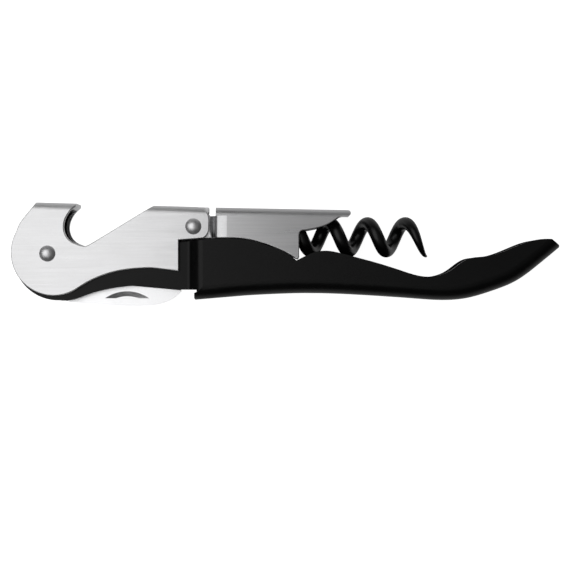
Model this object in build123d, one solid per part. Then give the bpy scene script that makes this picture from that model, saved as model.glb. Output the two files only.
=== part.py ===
from build123d import *
from math import cos, radians, sin, tan
import os

# Double-hinged lever corkscrew, folded and lying on its side, in millimetres.
#
# While it is designed, the origin is the middle of the main rivet. X runs along the handle towards its
# tail, Y from the handle's back towards the levers, and Z through the thickness. The finished pieces are
# then moved so that the row's origin is at the middle of the bottom of the whole tool's box.

# ---- driving dimensions ----

# sheet and clearances
sheet = 1.2                 # thickness of all the pressed sheet
lever_bend = 1.8            # outer radius where a lever's web turns into its cheeks
back_bend = 3.0             # outer radius where the handle's back turns into its sides
side_gap = 0.3              # between two pressed pieces, one inside the other
face_gap = 0.05             # running clearance between two faces on a pivot
hole_gap = 0.06             # running clearance round a rivet, on the radius
edge_round = 0.2            # tumbled edges of the levers' cheeks

# worm
worm_diameter = 9.0         # outside the coil
worm_wire = 2.9
worm_pitch = 8.38
worm_turns = 4              # full turns, before the half turn of the point
worm_point_end = 83.5       # X of the point
worm_axis_y = 3.71
worm_side_room = 0.5        # from the coil to a lever's cheek
worm_head_room = 0.22       # from the coil to the web of the second stage
point_turn = 185            # degrees of coil that the point takes up
point_stretch = 1.10        # how much longer the point's pitch is
point_taper = 0.8           # share of the wire ground away at the tip
shank_start_x = 38.0        # where the shank is on the coil's axis
worm_pin_x = 26.0
worm_pin_diameter = 3.0
shank_room = 0.4            # from the shank to the stage rivet above it
eye_turn = 260              # degrees that the wire goes round its pin

# levers
first_slope = 1.6           # degrees that each lever's back falls towards the tail
stage_slope = 1.06
stage_step = 0.05           # how much lower the second stage's back is than the first's, at the hinge
stage_pivot_x = 32.0
stage_pivot_y = 5.95
first_step_x = 28.8         # the first stage's rim step
second_step_x = 55.2        # the second stage's rim step
cap_web_start = -2.6        # the web over the cap lifter, along X
cap_web_end = 6.2
hinge_web_end = 33.6
hinge_tab_end = 35.2        # the narrow end of the first stage's web, between the second's cheeks
hinge_tab_room = 0.3
hinge_gap_start = 33.0      # from here only the tab is left of the web, so the second stage can fold
stage_web_start = 36.9
stage_web_end = 64.3
thumb_lip = 2.25            # the second stage's lip, past its web
tongue_top_y = 8.24
tongue_back_y = 7.75        # inside the first stage, where it passes under the web
tongue_end_radius = 2.78
tongue_length = 3.9         # from the hinge to where the second stage widens
tongue_widening = 1.1       # along X, while it widens steeply, and then gently
tongue_easing = 1.6
lip_corner = 2.5            # plan radius at the thumb lip

# handle
tail_x = 112.45             # tip of the handle
shoulder_x = 33.3           # where the wide body starts
shoulder_slope_length = 2.3
body_room = 0.6             # how much wider the handle is than the levers
nose_corner = 2.0           # plan radius at the tail
rim_gap = 0.15              # between the handle's rim and the second stage's foot
neck_setback = 0.4          # how far the neck's notch stays behind the cap lifter's
neck_horn_y = 9.25          # top of the neck, under the cap lifter's web

# rivets and rings
rivet_diameter = 2.6
rivet_head_overhang = 0.45  # on the radius
rivet_head_height = 0.9
rivet_head_rim = 0.15
knife_spacer_wall = 1.7     # each ring's width, on the radius
lever_washer_wall = 1.9
stage_washer_wall = 1.1
worm_spacer_wall = 2.1

# knife
knife_thickness = 1.0
knife_edge_thickness = 0.2
knife_bevel_height = 1.6    # how far the ground bevel reaches up from the cutting edge
knife_ricasso = 2.5         # unground length of the edge, next to the tang
tang_radius = 4.2
nick_radius = 8.52
nick_x = 17.0
nick_top_y = -8.3
nick_depth = 0.4
nick_wall = 1.1             # width of the nick's sloping wall
nick_height = 1.55

# ---- sizes that follow ----

far = 200                   # longer than anything here
worm_radius = worm_diameter / 2
wire_radius = worm_wire / 2
coil_radius = worm_radius - wire_radius
lever_inner = worm_radius + worm_side_room
lever_outer = lever_inner + sheet
neck_outer = lever_inner - side_gap
neck_inner = neck_outer - sheet
body_outer = lever_outer + body_room / 2
rivet_radius = rivet_diameter / 2
pin_radius = worm_pin_diameter / 2
rivet_head_radius = rivet_radius + rivet_head_overhang
eye_radius = pin_radius + face_gap + wire_radius
shank_y = stage_pivot_y - rivet_radius - shank_room - wire_radius
worm_pin_place = (worm_pin_x, shank_y - eye_radius)
nick_centre_y = nick_top_y - nick_radius
stage_pivot = (stage_pivot_x, stage_pivot_y)
first_fall = tan(radians(first_slope))
stage_fall = tan(radians(stage_slope))
stage_back_y = worm_axis_y + worm_radius + worm_head_room + sheet + stage_web_end * stage_fall
first_back_y = stage_back_y + stage_step + hinge_tab_end * (first_fall - stage_fall)


def first_top(x):
    """The first stage's sloping back at x."""
    return (x, first_back_y - x * first_fall)


def stage_top(x):
    return (x, stage_back_y - x * stage_fall)


def moved_inwards(points, distance):
    """The same line of points, moved by distance to the left of its direction of travel."""
    result = []
    for i, point in enumerate(points):
        before = Vector(*points[max(i - 1, 0)])
        after = Vector(*points[min(i + 1, len(points) - 1)])
        along = (after - before).normalized()
        result.append((point[0] - along.Y * distance, point[1] + along.X * distance))
    return result


def plate(edges, half):
    """A closed outline in the XY plane, as thick as half on each side of the middle."""
    return extrude(make_face(edges), amount=half, both=True)


def disc(centre, radius, low, high):
    """A round plate between two heights in Z."""
    place = Pos(centre[0], centre[1], low)
    return place * Cylinder(radius, high - low, align=(Align.CENTER, Align.CENTER, Align.MIN))


def ring(centre, inner, outer, low, high):
    return disc(centre, outer, low, high) - disc(centre, inner, low - 1, high + 1)


def tumbled(lever):
    """The lever with the outer edges of both its cheeks rounded."""
    cheek = lever.faces().sort_by(Axis.Z)[-1]
    lever = fillet(cheek.outer_wire().edges(), edge_round)
    lever &= Box(far, far, far, align=(Align.CENTER, Align.CENTER, Align.MIN))
    return lever + mirror(lever, about=Plane.XY)


def through_hole(centre, radius):
    return disc(centre, radius, -far / 2, far / 2)


def channel_block(back_y, slope, half, bend):
    """A long block under a lever's sloping back, with its two upper edges rounded."""
    block = Box(2 * far, far, 2 * half, align=(Align.CENTER, Align.MAX, Align.CENTER))
    upper_edges = block.edges().filter_by(Axis.X).sort_by(Axis.Y)[-2:]
    block = fillet(upper_edges, bend)
    return Pos(0, back_y) * Rot(0, 0, -slope) * block


def plan_block(points, inset, rounds):
    """A shape seen from above, in X and Z, mirrored about the middle and set in by inset.

    rounds gives a radius for the corner nearest to each listed point."""
    outline = points + [(x, -z) for x, z in reversed(points)]
    face = make_face(Polyline(*outline, close=True))
    for point, radius in rounds:
        for side in (1, -1):
            corner = face.vertices().sort_by_distance(Vector(point[0], side * point[1]))[0]
            face = fillet(corner, radius)
    if inset:
        face = offset(face, amount=-inset)
    return Rot(90, 0, 0) * extrude(face, amount=far / 2, both=True)


# ---- handle ----

neck_end_centre = (2.2, -0.39)
neck_end_radius = 9.89
fin_x = shoulder_x - 1.15
fin_top_y = -8.45
relief_x = shoulder_x - 0.6
neck_corner = (relief_x, -7.95)

belly_x = 48.5              # from here to the tail, the middle of the handle stretches with tail_x
waist_x = tail_x - 32.1


def between(start, end, share):
    return start + share * (end - start)


back_points = [
    (fin_x + 0.2, -10.15),
    (40.6, -9.46),
    (belly_x, -8.94),
    (between(belly_x, waist_x, 0.25), -8.70),
    (between(belly_x, waist_x, 0.50), -8.87),
    (between(belly_x, waist_x, 0.75), -9.31),
    (waist_x, -9.86),
    (tail_x - 25.5, -10.23),
    (tail_x - 20.2, -9.77),
    (tail_x - 15.0, -8.28),
    (tail_x - 9.7, -6.13),
    (tail_x - 4.5, -2.41),
    (tail_x - 0.4, 0.98),
]
foot_points = [(36.7, 3.44), (40.6, 3.42), (43.2, 3.24), (48.5, 1.88), (53.7, -0.53)]
valley = (54.6, -1.5)
front_rim_points = [(shoulder_x, 2.95)] + moved_inwards(foot_points, -rim_gap) + [valley]
hollow_x = tail_x - 34.7
rear_rim_points = [
    valley,
    (between(valley[0], hollow_x, 0.08), -0.60),
    (between(valley[0], hollow_x, 0.19), 0.39),
    (between(valley[0], hollow_x, 0.28), 0.62),
    (between(valley[0], hollow_x, 0.45), -0.10),
    (between(valley[0], hollow_x, 0.77), -2.08),
    (hollow_x, -3.77),
    (tail_x - 29.45, -5.06),
    (tail_x - 24.2, -3.79),
    (tail_x - 20.25, -1.16),
    (tail_x - 16.3, -0.61),
    (tail_x - 11.05, 1.03),
    (tail_x - 6.0, 2.88),
    (tail_x - 4.0, 3.18),
    (tail_x - 1.85, 3.2),
]
notch_points = [
    (cap_web_end - 0.1, 10.35),
    (5.28, 9.66),
    (4.36, 8.48),
    (3.62, 6.5),
    (3.78, 4.6),
    (5.02, 2.81),
    (7.6, 1.72),
    (10.3, 2.61),
]
ramp_angle = 31.5


def on_circle(centre, radius, angle):
    return (centre[0] + radius * cos(radians(angle)), centre[1] + radius * sin(radians(angle)))


def handle_outline():
    """The handle from the side: the neck round the main rivet, the hollow body and the tail."""
    neck_notch = [(cap_web_end - 1.5, neck_horn_y)] + moved_inwards(notch_points[2:], -neck_setback)
    neck_low = on_circle(neck_end_centre, neck_end_radius, 272)
    horn = on_circle(neck_end_centre, neck_end_radius, 116)
    neck_end = CenterArc(neck_end_centre, neck_end_radius, 116, 156)
    belly = Spline(
        neck_low, (6.2, -9.92), (8.9, -8.92), (13.3, -7.76), (20.0, -7.04), (26.5, -7.54), (29.1, -7.93)
    )
    fin = Polyline(
        (29.1, -7.93),
        neck_corner,
        (relief_x, fin_top_y + 0.1),
        (relief_x - 0.1, fin_top_y),
        (fin_x, fin_top_y - 0.2),
        (fin_x, back_points[0][1] + 0.3),
        back_points[0],
    )
    back = Spline(*back_points)
    nose_low = ThreePointArc(back_points[-1], (tail_x, 1.45), (tail_x - 0.15, 1.9))
    nose = Line((tail_x - 0.15, 1.9), rear_rim_points[-1])
    rear_rim = Spline(*rear_rim_points)
    front_rim = Spline(*front_rim_points)
    neck_top = Spline(
        front_rim_points[0],
        (29.0, 2.45),
        (20.0, 1.9),
        (neck_notch[-1][0] + 1.6, neck_notch[-1][1] - 0.2),
        neck_notch[-1],
    )
    notch = Spline(*neck_notch)
    horn_top = Line(neck_notch[0], horn)
    return [neck_end, belly, fin, back, nose_low, nose, rear_rim, front_rim, neck_top, notch, horn_top]


def back_block(inset, bend):
    """Everything above the handle's rounded back; open downwards for the neck, which has no back."""
    line = moved_inwards(back_points, inset)
    left = (fin_x - 0.2, line[0][1])
    right = (line[-1][0] + 8, line[-1][1] + 8 * 0.83)
    back = Spline(left, *line, right)
    walls = Polyline(
        right, (right[0], far / 2), (-far / 2, far / 2), (-far / 2, -far / 2), (left[0], -far / 2), left
    )
    block = plate([back, walls], body_outer - inset)
    rounded = [
        edge for edge in block.edges()
        if edge.geom_type == GeomType.BSPLINE and abs(abs(edge.center().Z) - (body_outer - inset)) < 0.01
    ]
    return fillet(rounded, bend)


def handle_plan(inset):
    """The handle from above: a narrow neck, the sloping shoulder, and the tail with round corners."""
    neck = (shoulder_x - shoulder_slope_length, neck_outer)
    shoulder = (shoulder_x, body_outer)
    tail = (tail_x + 0.05, body_outer)
    points = [(-far / 2, neck_outer), neck, shoulder, tail]
    return plan_block(points, inset, [(neck, 1.2), (shoulder, 2.4), (tail, nose_corner)])


def handle_channel():
    outside = plate(handle_outline(), body_outer) & back_block(0, back_bend) & handle_plan(0)
    hollow = back_block(sheet, back_bend - sheet) & handle_plan(sheet)
    channel = outside - hollow
    channel -= through_hole((0, 0), rivet_radius)
    channel -= through_hole(worm_pin_place, pin_radius)
    return channel


# ---- first lever stage ----

head_centre = (1.40, 0.22)
head_radius = 9.42
ear_points = [(34.2, 3.4), (35.2, 4.5), (35.46, 6.5), (35.3, 8.4), (34.7, 9.4)]


def first_stage_outline():
    head = CenterArc(head_centre, head_radius, 150, 129)
    head_low = on_circle(head_centre, head_radius, 279)
    belly = Spline(
        head_low, (5.0, -8.5), (8.2, -6.6), (12.1, -4.78), (17.4, -3.48), (21.4, -3.15),
        (first_step_x, -3.83),
        tangents=[(cos(radians(9)), sin(radians(9))), (1, -0.12)],
    )
    step = Polyline((first_step_x, -3.83), (first_step_x, 3.0), ear_points[0])
    ear = Spline(*ear_points, first_top(hinge_web_end))
    ramp_foot = notch_points[-1]
    ramp_rise = tan(radians(ramp_angle))
    ramp_top_x = (first_back_y - ramp_foot[1] + ramp_foot[0] * ramp_rise) / (ramp_rise + first_fall)
    back = Polyline(first_top(hinge_web_end), first_top(ramp_top_x), ramp_foot)
    notch = Spline(*notch_points, tangents=[(-0.77, -0.64), (1, ramp_rise)])
    lifter = Polyline(notch_points[0], first_top(cap_web_end), first_top(cap_web_start))
    head_high = on_circle(head_centre, head_radius, 150)
    brow = Spline(first_top(cap_web_start), (-4.69, 8.5), (-5.96, 6.8), head_high)
    return [head, belly, step, ear, back, notch, lifter, brow]


def first_stage_lever():
    lever = plate(first_stage_outline(), lever_outer)
    lever &= channel_block(first_back_y, first_slope, lever_outer, lever_bend)
    lever -= channel_block(first_back_y - sheet, first_slope, lever_inner, lever_bend - sheet)
    lever = tumbled(lever)
    gap = Box(far, far, 2 * lever_inner, align=(Align.MIN, Align.CENTER, Align.CENTER))
    lever -= Pos(hinge_gap_start) * gap
    tab_half = neck_inner - hinge_tab_room
    tab = Box(
        hinge_tab_end - hinge_gap_start + 2 * sheet,
        sheet,
        2 * tab_half,
        align=(Align.MAX, Align.MAX, Align.CENTER),
    )
    lever += Pos(*first_top(hinge_tab_end)) * Rot(0, 0, -first_slope) * tab
    lever -= through_hole((0, 0), rivet_radius + hole_gap)
    lever -= through_hole(stage_pivot, rivet_radius)
    return lever


# ---- second lever stage ----

toe = (54.6, -1.1)
throat_points = [(56.4, 5.12), (59.0, 5.6), (61.6, 6.48), (62.9, 7.27), (64.2, 8.2)]


def second_stage_outline():
    tongue_low = (stage_pivot_x, stage_pivot_y - tongue_end_radius)
    rise = tongue_back_y - stage_pivot_y
    tongue_high = (stage_pivot_x - (tongue_end_radius ** 2 - rise ** 2) ** 0.5, tongue_back_y)
    tongue_left = (stage_pivot_x - tongue_end_radius, stage_pivot_y)
    tongue_end = ThreePointArc(tongue_high, tongue_left, tongue_low)
    root = Line(tongue_low, foot_points[0])
    foot = Spline(*foot_points, toe)
    toe_round = ThreePointArc(toe, (second_step_x - 0.1, -1.0), (second_step_x, -0.55))
    step = Line((second_step_x, -0.55), (second_step_x, 4.2))
    step_corner = ThreePointArc((second_step_x, 4.2), (second_step_x + 0.27, 4.8), throat_points[0])
    throat = Spline(*throat_points)
    lip_end_x = stage_web_end + thumb_lip
    lip_low_y = stage_top(lip_end_x)[1] - sheet
    lip_low = Polyline(throat_points[-1], (stage_web_end + 0.6, lip_low_y), (lip_end_x - 0.25, lip_low_y))
    lip_end = ThreePointArc(lip_low @ 1, (lip_end_x, lip_low_y + 0.5), stage_top(lip_end_x - 0.8))
    back = Line(lip_end @ 1, stage_top(stage_web_start))
    mouth = Polyline(
        stage_top(stage_web_start),
        (stage_web_start, tongue_top_y),
        (stage_web_start - 1.4, tongue_top_y),
        (stage_web_start - 2.2, tongue_back_y),
        tongue_high,
    )
    return [tongue_end, root, foot, toe_round, step, step_corner, throat, lip_low, lip_end, back, mouth]


def second_stage_plan(inset):
    """From above: a narrow tongue that widens to the channel, and the rounded end of the thumb lip."""
    tongue = (stage_pivot_x + tongue_length, neck_outer)
    knee = (tongue[0] + tongue_widening, lever_outer - 0.3)
    shoulder = (knee[0] + tongue_easing, lever_outer)
    end = (stage_web_end + thumb_lip + 0.05, lever_outer)
    points = [(-far / 2, neck_outer), tongue, knee, shoulder, end]
    return plan_block(points, inset, [(tongue, 1.0), (knee, 2.4), (shoulder, 8), (end, lip_corner)])


def second_stage_lever():
    web_zone = Box(far, far, 2 * lever_outer, align=(Align.MIN, Align.MIN, Align.CENTER))
    web_zone = Pos(*stage_top(stage_web_start - 1)) * Rot(0, 0, -stage_slope) * Pos(0, -lever_bend) * web_zone
    lip_zone = Pos(stage_web_start + far / 2) * web_zone
    outside = plate(second_stage_outline(), lever_outer) & (second_stage_plan(0) + (web_zone - lip_zone))
    outside &= channel_block(stage_back_y, stage_slope, lever_outer, lever_bend)
    hollow = channel_block(stage_back_y - sheet, stage_slope, lever_inner, lever_bend - sheet)
    stage = tumbled(outside - (hollow & second_stage_plan(sheet)))
    stage -= through_hole(stage_pivot, rivet_radius + hole_gap)
    return stage


# ---- worm ----

def on_coil(x, radius, angle):
    """A point at x, at radius from the worm's axis; angle 0 is up, 90 towards the viewer."""
    return (x, worm_axis_y + radius * cos(radians(angle)), radius * sin(radians(angle)))


def worm():
    point_length = worm_pitch * point_stretch * point_turn / 360
    coil_end_x = worm_point_end - point_length
    coil_start_x = coil_end_x - worm_turns * worm_pitch
    eye = CenterArc(worm_pin_place, eye_radius, 90 + eye_turn, -eye_turn)
    spiral_turn = 360 * (coil_start_x - shank_start_x) / worm_pitch
    spiral = []
    steps = 12
    for i in range(1, steps):
        share = i / steps
        opening = share * share * (3 - 2 * share)
        spiral.append(
            on_coil(
                shank_start_x + share * (coil_start_x - shank_start_x),
                coil_radius * opening,
                -spiral_turn * (1 - share),
            )
        )
    coil_start = on_coil(coil_start_x, coil_radius, 0)
    coil_way = Vector(worm_pitch, 0, coil_radius * radians(360))
    shank = Spline(
        on_coil(worm_pin_x, shank_y - worm_axis_y, 0),
        (worm_pin_x + 4, shank_y, 0),
        (stage_pivot_x + 1.5, shank_y + 0.12, 0),
        (shank_start_x, worm_axis_y, 0),
        *spiral,
        coil_start,
        tangents=[(1, 0, 0), coil_way],
    )
    coil_place = Plane(origin=(coil_start_x, worm_axis_y, 0), x_dir=(0, 1, 0), z_dir=(1, 0, 0))
    coil = coil_place.location * Helix(worm_pitch, worm_turns * worm_pitch, coil_radius)
    path = Wire([eye, shank, coil])
    wire = sweep(Plane(origin=path @ 0, z_dir=path % 0) * Circle(wire_radius), path=path)
    sections = []
    point_steps = 6
    for i in range(point_steps + 1):
        share = i / point_steps
        radius = wire_radius * (1 - point_taper * share ** 1.3)
        here = on_coil(coil_end_x + share * point_length, worm_radius - radius, share * point_turn)
        turn = share * point_turn
        way = Vector(
            worm_pitch * (1 + (point_stretch - 1) * min(1, 2 * share)),
            -(worm_radius - radius) * radians(360) * sin(radians(turn)),
            (worm_radius - radius) * radians(360) * cos(radians(turn)),
        )
        sections.append(Plane(origin=here, z_dir=way) * Circle(radius))
    return wire + loft(sections)


def worm_pin():
    return disc(worm_pin_place, pin_radius, -neck_outer, neck_outer)


# ---- rivets, washers and spacers ----

def rivet(centre):
    """A round shank with a low domed head at each end."""
    seat = lever_outer + face_gap
    shank = disc(centre, rivet_radius, -seat, seat)
    dome_height = rivet_head_height - rivet_head_rim
    ball = (rivet_head_radius ** 2 + dome_height ** 2) / (2 * dome_height)
    head = disc(centre, rivet_head_radius, seat, seat + rivet_head_rim)
    dome = Pos(centre[0], centre[1], seat + rivet_head_height - ball) * Sphere(ball)
    dome &= disc(centre, rivet_head_radius, seat + rivet_head_rim, seat + rivet_head_height + 1)
    head += dome
    return shank + head + mirror(head, about=Plane.XY)


# ---- knife ----

edge_start = (7.0, -4.5)
edge_end = (26.0, -6.2)


def edge_bevel():
    """What the grinding takes off the front of the blade, along its cutting edge."""
    along = (Vector(*edge_end) - Vector(*edge_start)).normalized()
    outwards = Vector(-along.Y, along.X)
    begin = Vector(*edge_start) + along * knife_ricasso
    half = knife_thickness / 2
    edge_half = knife_edge_thickness / 2
    slope = (half - edge_half) / knife_bevel_height
    taken = Polyline(
        (-knife_bevel_height, half),
        (1, edge_half - slope),
        (1, half + 1),
        (-knife_bevel_height, half + 1),
        close=True,
    )
    return extrude(Plane(origin=begin, x_dir=outwards, z_dir=along) * make_face(taken), amount=far)


def knife_blade():
    heel = (1.5, -9.6)
    tip = (29.1, -8.3)
    spine_points = [(3.3, -10.38), (7.5, -10.93), (14.2, -11.43), (20.5, -11.53), (24.9, -10.99)]
    spine = Spline(heel, *spine_points, (27.6, -9.68), tip)
    belly = Spline(tip, (28.2, -7.0), edge_end)
    edge = Line(edge_end, edge_start)
    tang_start = on_circle((0, 0), tang_radius, -31)
    tang = CenterArc((0, 0), tang_radius, -31, 251)
    tang_end = on_circle((0, 0), tang_radius, 220)
    outline = [spine, belly, edge, Line(edge_start, tang_start), tang, Line(tang_end, heel)]
    blade = plate(outline, knife_thickness / 2)
    cone = Cone(
        nick_radius - nick_wall, nick_radius, nick_depth, align=(Align.CENTER, Align.CENTER, Align.MAX)
    )
    nick = Pos(nick_x, nick_centre_y, knife_thickness / 2) * cone
    chord = Box(far, far, far, align=(Align.CENTER, Align.MIN, Align.CENTER))
    nick &= Pos(0, nick_top_y - nick_height) * chord
    blade -= nick
    blade -= edge_bevel()
    blade -= mirror(edge_bevel(), about=Plane.XY)
    blade -= through_hole((0, 0), rivet_radius + hole_gap)
    return blade


# ---- the whole tool ----

nodes = {
    "handle_channel": handle_channel(),
    "first_stage_lever": first_stage_lever(),
    "second_stage_lever": second_stage_lever(),
    "worm": worm(),
    "knife_blade": knife_blade(),
    "main_rivet": rivet((0, 0)),
    "stage_rivet": rivet(stage_pivot),
    "worm_pin": worm_pin(),
}
rings = [
    # name, centre, hole radius, wall, lowest and highest Z of the front one
    ("knife_spacer", (0, 0), rivet_radius, knife_spacer_wall, knife_thickness / 2 + face_gap, neck_inner),
    ("lever_washer", (0, 0), rivet_radius, lever_washer_wall, neck_outer, lever_inner - face_gap),
    ("stage_washer", stage_pivot, rivet_radius, stage_washer_wall, neck_outer + face_gap, lever_inner),
    ("worm_spacer", worm_pin_place, pin_radius, worm_spacer_wall, wire_radius + face_gap, neck_inner),
]
for name, centre, hole, wall, low, high in rings:
    front = ring(centre, hole, hole + wall, low, high)
    nodes[name + "_front"] = front
    nodes[name + "_back"] = mirror(front, about=Plane.XY)

boxes = [solid.bounding_box() for solid in nodes.values()]
middle_x = (min(box.min.X for box in boxes) + max(box.max.X for box in boxes)) / 2
middle_y = (min(box.min.Y for box in boxes) + max(box.max.Y for box in boxes)) / 2
lowest = min(box.min.Z for box in boxes)
to_row = Pos(-middle_x, -middle_y, -lowest)

os.makedirs("parts", exist_ok=True)
for name, solid in nodes.items():
    export_step(to_row * solid, "parts/" + name + ".step")
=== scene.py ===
import math

import bpy
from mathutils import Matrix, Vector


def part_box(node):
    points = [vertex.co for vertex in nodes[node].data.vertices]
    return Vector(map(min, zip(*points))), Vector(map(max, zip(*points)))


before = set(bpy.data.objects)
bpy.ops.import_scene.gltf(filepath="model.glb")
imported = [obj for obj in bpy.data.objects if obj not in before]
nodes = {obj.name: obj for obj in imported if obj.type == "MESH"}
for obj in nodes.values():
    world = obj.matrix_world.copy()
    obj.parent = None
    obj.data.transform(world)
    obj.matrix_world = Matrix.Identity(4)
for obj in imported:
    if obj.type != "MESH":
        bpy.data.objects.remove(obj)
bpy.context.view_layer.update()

MM = 0.001

# ---- studio ----

# along X and Y from the main rivet's middle, and up from the floor
CAMERA_FROM_RIVET = (52.10 * MM, -6.90 * MM, 424.65 * MM)
CAMERA_LENS = 118.53        # on a 36 mm sensor
FLOOR_SIZE = 6.0
WORLD_GREY = 0.055
SOFTBOX_HEIGHT = 0.55
SOFTBOX_NEAR = -0.30
SOFTBOX_FAR = 0.42
# each softbox's left edge, right edge and how bright it looks
SOFTBOXES = {
    "key_softbox": (-0.75, -0.035, 1.12),
    "middle_softbox": (-0.035, 0.12, 0.27),
    "right_softbox": (0.12, 0.50, 0.10),
}
# the upright card that the tool's back edge mirrors
BACK_CARD_WIDTH = 1.4
BACK_CARD_HEIGHT = 0.24
BACK_CARD_GLOW = 0.24
BACK_CARD_PLACE = (0, 0.62, 0.15)
SHOWN_FLOOR_GLOW = 0.95
SHOWN_FLOOR_ALBEDO = 0.7
MIRRORED_FLOOR_HEIGHT = -0.5 * MM
MIRRORED_FLOOR_GLOW = 0.5
MIRRORED_FLOOR_ALBEDO = 0.1


def emission_floor(name, height, glow, albedo):
    """A wide pale floor that also glows."""
    bpy.ops.mesh.primitive_plane_add(size=FLOOR_SIZE, location=(0, 0, height))
    floor = bpy.context.object
    floor.name = name
    material = bpy.data.materials.new(name)
    material.use_nodes = True
    shader = material.node_tree.nodes["Principled BSDF"]
    shader.inputs["Base Color"].default_value = (albedo, albedo, albedo, 1)
    shader.inputs["Roughness"].default_value = 1.0
    shader.inputs["Specular IOR Level"].default_value = 0.0
    shader.inputs["Emission Color"].default_value = (1, 1, 1, 1)
    shader.inputs["Emission Strength"].default_value = glow
    floor.data.materials.append(material)
    return floor


def lamp(name, width, depth, glow, location, tilt=0.0):
    """A flat lamp that faces down, tilted about X; glow is how bright it looks."""
    light = bpy.data.lights.new(name, "AREA")
    light.shape = "RECTANGLE"
    light.size = width
    light.size_y = depth
    light.energy = glow * math.pi * width * depth
    holder = bpy.data.objects.new(name, light)
    holder.location = location
    holder.rotation_euler.x = tilt
    bpy.context.scene.collection.objects.link(holder)


def build_studio():
    shown = emission_floor("floor", 0.0, SHOWN_FLOOR_GLOW, SHOWN_FLOOR_ALBEDO)
    shown.visible_glossy = False
    shown.visible_diffuse = False
    mirrored = emission_floor(
        "floor_for_reflections",
        MIRRORED_FLOOR_HEIGHT,
        MIRRORED_FLOOR_GLOW,
        MIRRORED_FLOOR_ALBEDO,
    )
    mirrored.visible_camera = False
    mirrored.visible_shadow = False

    middle_y = (SOFTBOX_NEAR + SOFTBOX_FAR) / 2
    for name, (left, right, glow) in SOFTBOXES.items():
        place = ((left + right) / 2, middle_y, SOFTBOX_HEIGHT)
        lamp(name, right - left, SOFTBOX_FAR - SOFTBOX_NEAR, glow, place)
    card_tilt = math.radians(-90)
    lamp("back_card", BACK_CARD_WIDTH, BACK_CARD_HEIGHT, BACK_CARD_GLOW, BACK_CARD_PLACE, card_tilt)

    world = bpy.data.worlds.new("studio")
    world.use_nodes = True
    background = world.node_tree.nodes["Background"]
    background.inputs["Color"].default_value = (WORLD_GREY, WORLD_GREY, WORLD_GREY, 1)
    bpy.context.scene.world = world

    low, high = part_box("main_rivet")
    middle = [(low[axis] + high[axis]) / 2 for axis in range(2)]
    camera = bpy.data.cameras.new("camera")
    camera.lens = CAMERA_LENS
    camera.sensor_width = 36
    camera.clip_start = 0.01
    camera.clip_end = 20
    holder = bpy.data.objects.new("camera", camera)
    right, back, height = CAMERA_FROM_RIVET
    holder.location = (middle[0] + right, middle[1] + back, height)
    bpy.context.scene.collection.objects.link(holder)
    bpy.context.scene.camera = holder
    bpy.context.scene.view_settings.view_transform = "Standard"


# ---- materials ----

class Finish:
    """A procedural material, in the coordinates of the piece that it is on."""

    def __init__(self, name, metallic, colour, roughness):
        self.material = bpy.data.materials.new(name)
        self.material.use_nodes = True
        self.tree = self.material.node_tree
        self.shader = self.tree.nodes["Principled BSDF"]
        self.shader.inputs["Metallic"].default_value = metallic
        self.shader.inputs["Base Color"].default_value = (*colour, 1)
        self.shader.inputs["Roughness"].default_value = roughness
        self.place = self.node("ShaderNodeTexCoord").outputs["Object"]
        self.last_normal = None

    def node(self, kind, **settings):
        made = self.tree.nodes.new(kind)
        for name, value in settings.items():
            setattr(made, name, value)
        return made

    def link(self, source, target):
        self.tree.links.new(source, target)

    def noise(self, grain, detail=2.0, offset=0.0):
        """Noise whose grain is this long along X, Y and Z, in metres."""
        mapping = self.node("ShaderNodeMapping")
        mapping.inputs["Scale"].default_value = [1 / size for size in grain]
        mapping.inputs["Location"].default_value = (offset, offset, offset)
        self.link(self.place, mapping.inputs["Vector"])
        texture = self.node("ShaderNodeTexNoise")
        texture.inputs["Scale"].default_value = 1.0
        texture.inputs["Detail"].default_value = detail
        self.link(mapping.outputs["Vector"], texture.inputs["Vector"])
        return texture.outputs["Fac"]

    def spread(self, value, low, high, start=0.25, end=0.75):
        """The value between start and end, spread over low to high."""
        change = self.node("ShaderNodeMapRange")
        change.inputs["From Min"].default_value = start
        change.inputs["From Max"].default_value = end
        change.inputs["To Min"].default_value = low
        change.inputs["To Max"].default_value = high
        self.link(value, change.inputs["Value"])
        return change.outputs["Result"]

    def sum(self, first, second):
        total = self.node("ShaderNodeMath", operation="ADD")
        self.link(first, total.inputs[0])
        self.link(second, total.inputs[1])
        return total.outputs["Value"]

    def roughness(self, value):
        self.link(value, self.shader.inputs["Roughness"])

    def tint(self, value, dark, light):
        """A colour between dark and light, by value."""
        mix = self.node("ShaderNodeMix", data_type="RGBA")
        factor, first, second = (mix.inputs[place] for place in (0, 6, 7))
        first.default_value = (*dark, 1)
        second.default_value = (*light, 1)
        self.link(value, factor)
        self.link(mix.outputs[2], self.shader.inputs["Base Color"])

    def bump(self, value, depth):
        """Relief of this depth in metres; several calls add up."""
        relief = self.node("ShaderNodeBump")
        relief.inputs["Strength"].default_value = 1.0
        relief.inputs["Distance"].default_value = depth
        self.link(value, relief.inputs["Height"])
        if self.last_normal is not None:
            self.link(self.last_normal, relief.inputs["Normal"])
        self.last_normal = relief.outputs["Normal"]
        self.link(self.last_normal, self.shader.inputs["Normal"])

    def brush_along(self, direction, strength, turn):
        """Stretches the gloss across brush lines that run along direction, in the piece's own axes."""
        line = self.node("ShaderNodeCombineXYZ")
        for socket, value in zip(line.inputs, direction):
            socket.default_value = value
        to_world = self.node("ShaderNodeVectorTransform", convert_from="OBJECT", convert_to="WORLD")
        to_world.vector_type = "VECTOR"
        self.link(line.outputs["Vector"], to_world.inputs["Vector"])
        self.link(to_world.outputs["Vector"], self.shader.inputs["Tangent"])
        self.shader.inputs["Anisotropic"].default_value = strength
        self.shader.inputs["Anisotropic Rotation"].default_value = turn


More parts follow.
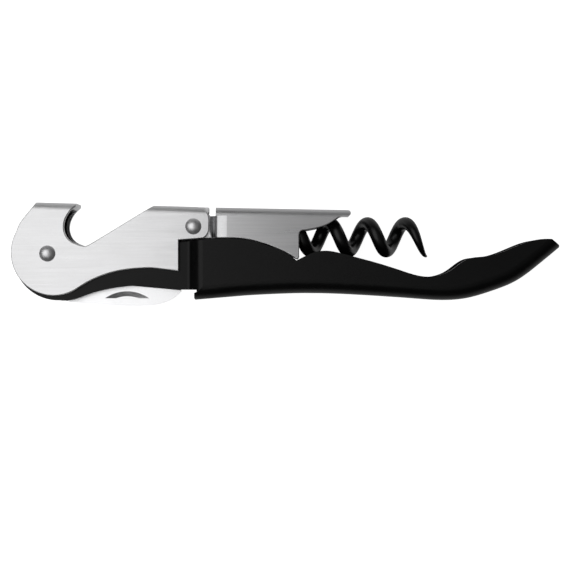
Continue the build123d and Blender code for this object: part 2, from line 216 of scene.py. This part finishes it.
def brushed_steel(name, dark, light):
    finish = Finish(name, 1.0, light, 0.3)
    fine = finish.noise((7 * MM, 0.07 * MM, 0.07 * MM), 2.0)
    broad = finish.noise((26 * MM, 0.45 * MM, 0.45 * MM), 3.0, 7.3)
    cloud = finish.noise((9 * MM, 6 * MM, 6 * MM), 2.0, 3.1)
    streaks = finish.sum(finish.spread(fine, 0.0, 0.55), finish.spread(broad, 0.0, 0.45))
    finish.tint(streaks, dark, light)
    rough = finish.sum(finish.spread(broad, 0.25, 0.33), finish.spread(cloud, 0.0, 0.03))
    finish.roughness(rough)
    finish.bump(fine, 0.0012 * MM)
    finish.brush_along((1, 0, 0), 0.9, 0.25)
    return finish.material


def satin_black(name):
    finish = Finish(name, 0.0, (0.002, 0.002, 0.002), 0.3)
    finish.shader.inputs["Specular IOR Level"].default_value = 0.22
    grain = finish.noise((0.16 * MM, 0.16 * MM, 0.16 * MM), 2.0)
    patch = finish.noise((4 * MM, 4 * MM, 4 * MM), 2.0, 5.0)
    finish.tint(finish.spread(patch, 0.0, 1.0), (0.0015, 0.0015, 0.0016), (0.0024, 0.0024, 0.0025))
    finish.roughness(finish.sum(finish.spread(grain, 0.25, 0.34), finish.spread(patch, 0.0, 0.03)))
    finish.bump(grain, 0.006 * MM)
    return finish.material


def black_coating(name):
    finish = Finish(name, 0.0, (0.002, 0.002, 0.002), 0.3)
    finish.shader.inputs["Specular IOR Level"].default_value = 0.38
    speck = finish.noise((0.09 * MM, 0.09 * MM, 0.09 * MM), 2.0)
    wave = finish.noise((1.8 * MM, 0.9 * MM, 0.9 * MM), 2.0, 2.0)
    finish.tint(finish.spread(wave, 0.0, 1.0), (0.0014, 0.0014, 0.0015), (0.0024, 0.0024, 0.0025))
    finish.roughness(finish.sum(finish.spread(speck, 0.24, 0.34), finish.spread(wave, 0.0, 0.05)))
    finish.bump(speck, 0.003 * MM)
    return finish.material


def ground_blade(name):
    finish = Finish(name, 1.0, (0.92, 0.92, 0.93), 0.2)
    lines = finish.noise((5 * MM, 0.05 * MM, 0.05 * MM), 2.0, 1.0)
    soft = finish.noise((6 * MM, 3 * MM, 3 * MM), 1.0, 4.0)
    finish.tint(finish.spread(lines, 0.0, 1.0), (0.86, 0.86, 0.87), (0.95, 0.95, 0.96))
    finish.roughness(finish.sum(finish.spread(lines, 0.17, 0.24), finish.spread(soft, 0.0, 0.03)))
    finish.bump(lines, 0.0006 * MM)
    finish.brush_along((1, 0, 0), 0.6, 0.25)
    return finish.material


def peened_rivet(name):
    finish = Finish(name, 1.0, (0.72, 0.72, 0.73), 0.22)
    dents = finish.noise((0.7 * MM, 0.7 * MM, 0.7 * MM), 1.0, 6.0)
    scuffs = finish.noise((0.5 * MM, 0.06 * MM, 0.2 * MM), 2.0, 9.0)
    finish.tint(finish.spread(scuffs, 0.0, 1.0), (0.84, 0.84, 0.85), (0.94, 0.94, 0.95))
    finish.roughness(finish.sum(finish.spread(scuffs, 0.32, 0.42), finish.spread(dents, 0.0, 0.05)))
    finish.bump(dents, 0.012 * MM)
    return finish.material


def turned_ring(name):
    finish = Finish(name, 1.0, (0.62, 0.62, 0.63), 0.35)
    lines = finish.noise((0.4 * MM, 0.4 * MM, 0.04 * MM), 2.0, 2.0)
    finish.tint(finish.spread(lines, 0.0, 1.0), (0.5, 0.5, 0.51), (0.66, 0.66, 0.67))
    finish.roughness(finish.spread(lines, 0.3, 0.42))
    finish.bump(lines, 0.002 * MM)
    return finish.material


def dress():
    steel = brushed_steel("brushed_steel", (0.76, 0.76, 0.77), (0.90, 0.90, 0.905))
    # the second stage wears the same brushed steel as the first, painted darker: painted shade
    stage = brushed_steel("brushed_steel_stage", (0.64, 0.64, 0.65), (0.82, 0.82, 0.825))
    rivet = peened_rivet("rivet_steel")
    ring = turned_ring("ring_steel")
    finishes = {
        "handle_channel": satin_black("black_paint"),
        "first_stage_lever": steel,
        "second_stage_lever": stage,
        "worm": black_coating("black_coating"),
        "knife_blade": ground_blade("blade_steel"),
        "main_rivet": rivet,
        "stage_rivet": rivet,
        "worm_pin": rivet,
    }
    for name, piece in nodes.items():
        piece.data.materials.clear()
        piece.data.materials.append(finishes.get(name, ring))


build_studio()
dress()
